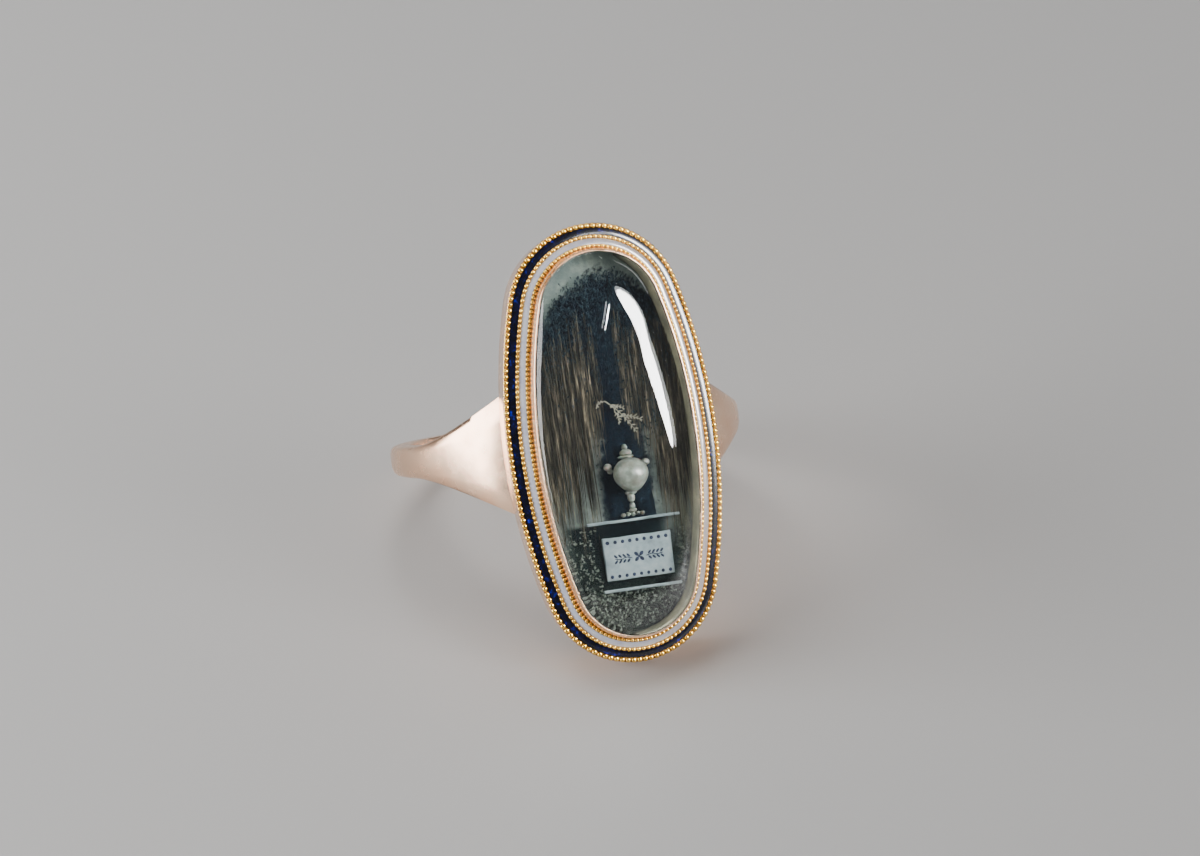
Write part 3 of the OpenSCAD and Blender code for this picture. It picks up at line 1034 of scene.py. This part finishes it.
sky = ramp(tree, broad, (0.3, (0.05, 0.068, 0.067)), (0.52, (0.09, 0.112, 0.102)), (0.72, (0.17, 0.197, 0.175)))
from_middle = reckon(tree, "SUBTRACT", x, CROWN_X)
edge_height = reckon(tree, "MULTIPLY_ADD", product(tree, from_middle, from_middle), -CROWN_FALL, CROWN_TOP)
below_edge = reckon(tree, "SUBTRACT", edge_height, y)
crown_depth = reckon(tree, "ADD", below_edge, ragged)
crown = product(tree, between(tree, crown_depth, -0.3, 0.5), between(tree, crown_depth, 4.6, 10.0, 1.0, 0.4))
wash = blend(tree, crown, sky, (0.002, 0.003, 0.006))

# %% The combed shade behind the hair
streaks = noise(tree, bench_place(tree, (0.16, 3.0, 1)), 1.0, 4, 0.6)
where_hair_hangs = product(tree, between(tree, y, -6.0, -2.5), between(tree, below_edge, 2.6, 5.2))
combed = product(tree, between(tree, streaks, 0.42, 0.62), where_hair_hangs, 0.6)
wash = blend(tree, combed, wash, (0.045, 0.041, 0.031))

right_edge = product(tree, between(tree, x, 2.7, 3.9), between(tree, y, 8.0, 5.0))
right_streaks = product(tree, right_edge, between(tree, streaks, 0.4, 0.6, 0.15, 0.85))
wash = blend(tree, right_streaks, wash, (0.12, 0.115, 0.075))

# %% The trunk and the plinth's block
trunk_wide = reckon(tree, "MULTIPLY_ADD", ragged, 0.45, reckon(tree, "ABSOLUTE", from_middle))
trunk_tall = product(tree, between(tree, y, -4.6, -4.2), between(tree, y, 2.5, 6.5, 1, 0))
trunk_mask = product(tree, between(tree, trunk_wide, 1.0, 1.75, 1, 0), trunk_tall)
wash = blend(tree, trunk_mask, wash, (0.002, 0.004, 0.008))

block_wide = reckon(tree, "MULTIPLY_ADD", ragged, 0.18, reckon(tree, "ABSOLUTE", reckon(tree, "ADD", x, 0.3)))
block_tall = product(tree, between(tree, y, -8.5, -8.0), between(tree, y, -4.5, -4.2, 1, 0))
block_mask = product(tree, between(tree, block_wide, 2.3, 3.1, 1, 0), block_tall)
wash = blend(tree, block_mask, wash, (0.002, 0.004, 0.005))

# %% The ground
soil = reckon(tree, "MULTIPLY_ADD", ragged, 0.5, y)
soil_colour = ramp(
    tree, noise(tree, place, 2.0, 6, 0.7),
    (0.42, (0.001, 0.001, 0.001)), (0.52, (0.006, 0.008, 0.007)), (0.66, (0.05, 0.058, 0.048)),
)
wash = blend(tree, between(tree, soil, -8.2, -7.6, 1, 0), wash, soil_colour)
side_soil = product(tree, between(tree, soil, -6.4, -4.6, 0.85, 0), between(tree, fine, 0.4, 0.6, 1, 0.3))
wash = blend(tree, side_soil, wash, (0.006, 0.009, 0.008))
tree.links.new(wash, shader.inputs["Base Color"])
relief(tree, shader, fine, 0.04, 0.5)
print("the wash has", len(tree.nodes), "nodes")

# %% Hair, foliage, twig and specks
def matted(name, dark, light, rough=0.75, scale=5.0):
    """A finish for thin work: its colour changes from flake to flake or along a strand."""
    paint, tree, shader = finish(name, Roughness=rough, Specular_IOR_Level=0.0)
    place = bench_place(tree)
    colour_by(tree, shader, noise(tree, place, scale, 4, 0.7), (0.32, dark), (0.68, light))
    relief(tree, shader, noise(tree, place, scale * 3, 2), 0.01, 0.4)
    return paint


hair_finish, tree, shader = finish("glued_hair", Roughness=0.6, Specular_IOR_Level=0.02)
along_hair = noise(tree, bench_place(tree, (0.14, 2.2, 1)), 1.0, 4, 0.7)
colour_by(
    tree, shader, along_hair,
    (0.32, (0.003, 0.003, 0.003)), (0.5, (0.018, 0.016, 0.012)),
    (0.62, (0.065, 0.056, 0.038)), (0.74, (0.26, 0.215, 0.14)),
)
relief(tree, shader, noise(tree, bench_place(tree, (0.05, 2.5, 1)), 1.0, 3), 0.02, 0.5)
foliage_finish = matted("foliage_navy", (0.001, 0.002, 0.004), (0.022, 0.036, 0.046), scale=7.0)
bark_finish = matted("bark_shadow", (0.001, 0.002, 0.003), (0.006, 0.011, 0.017), scale=5.0)
twig_finish = matted("twig_tan", (0.1, 0.097, 0.075), (0.22, 0.21, 0.165), 0.6)
specks_finish = matted("ground_dust", (0.005, 0.007, 0.006), (0.11, 0.125, 0.105), 0.75, 3.0)
dots_finish = matted("navy_paint", (0.006, 0.009, 0.02), (0.02, 0.026, 0.05), 0.35)

# %% [markdown]
# ## Pearl and ivory slips
# Pearl has a soft gleam that comes from under its skin, and its tint drifts from cream to grey. The slips are
# paler and matter than the pearls.

# %% Pearl and slips
pearl_finish, tree, shader = finish(
    "pearl_skin", Roughness=0.4, Specular_IOR_Level=0.3, Coat_Weight=0.5, Coat_Roughness=0.16,
    Subsurface_Weight=0.15, Subsurface_Scale=0.3 * MM,
)
place = bench_place(tree)
drift = noise(tree, place, 1.6, 3, 0.6)
pearl_stops = (0.3, (0.055, 0.058, 0.04)), (0.5, (0.1, 0.112, 0.092)), (0.68, (0.18, 0.2, 0.175))
colour_by(tree, shader, drift, *pearl_stops)
relief(tree, shader, noise(tree, place, 2.5, 4), 0.05, 0.6)

slip_finish, tree, shader = finish("ivory_slip", Roughness=0.6, Specular_IOR_Level=0.05)
place = bench_place(tree)
stain = noise(tree, place, 1.1, 5, 0.65)
slip_stops = (0.32, (0.1, 0.13, 0.14)), (0.5, (0.155, 0.19, 0.2)), (0.7, (0.21, 0.245, 0.245))
colour_by(tree, shader, stain, *slip_stops)
relief(tree, shader, noise(tree, place, 6.0, 3), 0.015, 0.5)

# %% [markdown]
# ## Laying the ring down
# Each piece gets its finish, stands for its CAD solid where it has one, and is carried to the table.

# %% Painted shade in the corners of the case
COLLET_INSIDE, LIP_Z, WELL_FLOOR_Z = 1.545, 1.13, -2.5
RIM_FROM, RIM_TO, GROOVE_Z = 0.03, 1.36, -0.3


def sort_case(face):
    """Which finish a face of the case has: 0 rose gold, 1 painted shade under beads and enamel, 2 painted shade
    on the well's walls.
    """
    x, y, z = abs(face.center.x), abs(face.center.y), face.center.z
    if y - END_Y > x * math.tan(JOIN):
        inset = END_R - math.hypot(x, y - END_Y)
    else:
        inset = FLANK_R - math.hypot(x + FLANK_X, y)
    if inset > COLLET_INSIDE and z < LIP_Z:
        return 2 if z > WELL_FLOOR_Z else 0
    return 1 if RIM_FROM < inset < RIM_TO and z > GROOVE_Z else 0


kinds = [sort_case(face) for face in case.data.polygons]
wear(case, rose_gold)
# Painted shade under the beads and enamel, and on the walls of the well.
case.data.materials.append(painted_shade_gold)
case.data.materials.append(painted_shade_well)
for face, kind in zip(case.data.polygons, kinds):
    face.material_index = kind
print("faces of rose gold, painted_shade and lining:", [kinds.count(kind) for kind in range(3)])

# %% Dressing and laying down
set_pieces = [
    (case, rose_gold, "gold", ["gold_mount"]), (hoop, rose_gold, "gold", ["gold_mount"]),
    (outer_beads, yellow_gold, "gold", []), (middle_beads, yellow_gold, "gold", []),
    (inner_beads, yellow_gold, "gold", []),
    (blue_band, blue, "blue_enamel", ["blue_enamel"]), (white_band, white, "white_enamel", ["white_enamel"]),
    (crystal, crystal_finish, "crystal", ["crystal"]),
    (cap, slip_finish, "ivory", ["plinth_cap"]), (plaque, slip_finish, "ivory", ["plinth_plaque"]),
    (foot, slip_finish, "ivory", ["plinth_base"]), (dots, dots_finish, "ivory", []),
    (hair, hair_finish, "ivory", []), (trunk, bark_finish, "ivory", []), (twig, twig_finish, "ivory", []),
    (foliage, foliage_finish, "ivory", []), (undergrowth, bark_finish, "ivory", []),
    (shrub, foliage_finish, "ivory", []), (ground, specks_finish, "ivory", []),
]
set_pieces += [(piece, pearl_finish, "pearl", [node]) for node, group in pearls.items() for piece in group]
for piece, paint, slot, stands_for in set_pieces:
    if piece is not case:
        wear(piece, paint)
    if stands_for:
        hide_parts(*stands_for)
    lay_down(piece)
wear(frame["nodes"]["picture_plate"], ivory_picture)
print(len(set_pieces), "pieces dressed")

# %% [markdown]
# ## Table, light and camera
# The ring stands on the tip of its bezel and the edge of its hoop. The camera looks down at it from the left.
# Shape and gleam are set apart: the strips show only as streaks in crystal and gold, and the key only shades.

# %% The table
select_nothing()
bpy.ops.mesh.primitive_plane_add(size=3.0, location=(0, 0, 0))
table = bpy.context.object
table.name = "table"
table_paint, tree, shader = finish("table_paint", Base_Color=(0.5, 0.49, 0.48, 1), Roughness=0.6)
table.data.materials.append(table_paint)

# %% The camera
AZIMUTH, ELEVATION, ROLL = -17.0, 34.0, 0.9
DISTANCE = 300 * MM
PIXELS_PER_MM = 18.07
MIDDLE_PIXEL = (613.2, 443)
IMAGE_SIZE = (1200, 856)

azimuth, elevation = math.radians(AZIMUTH), math.radians(ELEVATION)
back = Vector(
    (math.sin(azimuth) * math.cos(elevation), -math.cos(azimuth) * math.cos(elevation), math.sin(elevation))
)
right = Vector((math.cos(azimuth), math.sin(azimuth), 0))
up = back.cross(right)
turn = Matrix.Rotation(math.radians(ROLL), 3, back)
right, up = turn @ right, turn @ up
aim = (
    BENCH_ORIGIN
    - right * (MIDDLE_PIXEL[0] - IMAGE_SIZE[0] / 2) / PIXELS_PER_MM * MM
    + up * (MIDDLE_PIXEL[1] - IMAGE_SIZE[1] / 2) / PIXELS_PER_MM * MM
)
bpy.ops.object.camera_add(location=aim + back * DISTANCE)
camera = bpy.context.object
camera.rotation_euler = Matrix((right, up, back)).transposed().to_euler()
camera.data.lens = PIXELS_PER_MM * DISTANCE / MM / IMAGE_SIZE[0] * camera.data.sensor_width
camera.data.clip_start = 0.01
bpy.context.scene.camera = camera
print(f"camera at {[round(v / MM) for v in camera.location]} mm, lens {camera.data.lens:.0f} mm")

# %% The light
def soft_light(name, place, size, power, long_side=(0, 0, 1), shape="RECTANGLE"):
    """A light that faces the ring, in millimetres, with its tall side along a direction."""
    bpy.ops.object.light_add(type="AREA", location=[v * MM for v in place])
    light = bpy.context.object
    light.name = name
    light.data.shape = shape
    light.data.size, light.data.size_y = size[0] * MM, size[1] * MM
    light.data.energy = power
    facing = (light.location - BENCH_ORIGIN).normalized()
    tall = Vector(long_side) - facing * facing.dot(Vector(long_side))
    tall.normalize()
    light.rotation_euler = Matrix((tall.cross(facing), tall, facing)).transposed().to_euler()
    return light


RIGHT_OF_CAMERA = (188, -159, 161)
strip = soft_light("strip_right", RIGHT_OF_CAMERA, (48, 220), 3.0, (-138, 2, 173), "ELLIPSE")
strip.visible_diffuse = False
glint = soft_light("strip_left", (75, -186, 222), (3, 40), 0.06, (8, 11, 6), "ELLIPSE")
glint.visible_diffuse = False
key = soft_light("key_right", RIGHT_OF_CAMERA, (120, 160), 0.2)
key.visible_glossy = key.visible_transmission = False
soft_light("panel_left", (-262, 6, 80), (250, 150), 1.3)
soft_light("panel_above", (-40, 130, 330), (260, 220), 0.7, (0, 1, 0))
if bpy.context.scene.world is None:
    bpy.context.scene.world = bpy.data.worlds.new("studio")
world = bpy.context.scene.world
world.use_nodes = True
sky_light = world.node_tree.nodes["Background"]
sky_light.inputs["Color"].default_value = (0.8, 0.82, 0.86, 1)
sky_light.inputs["Strength"].default_value = 0.18
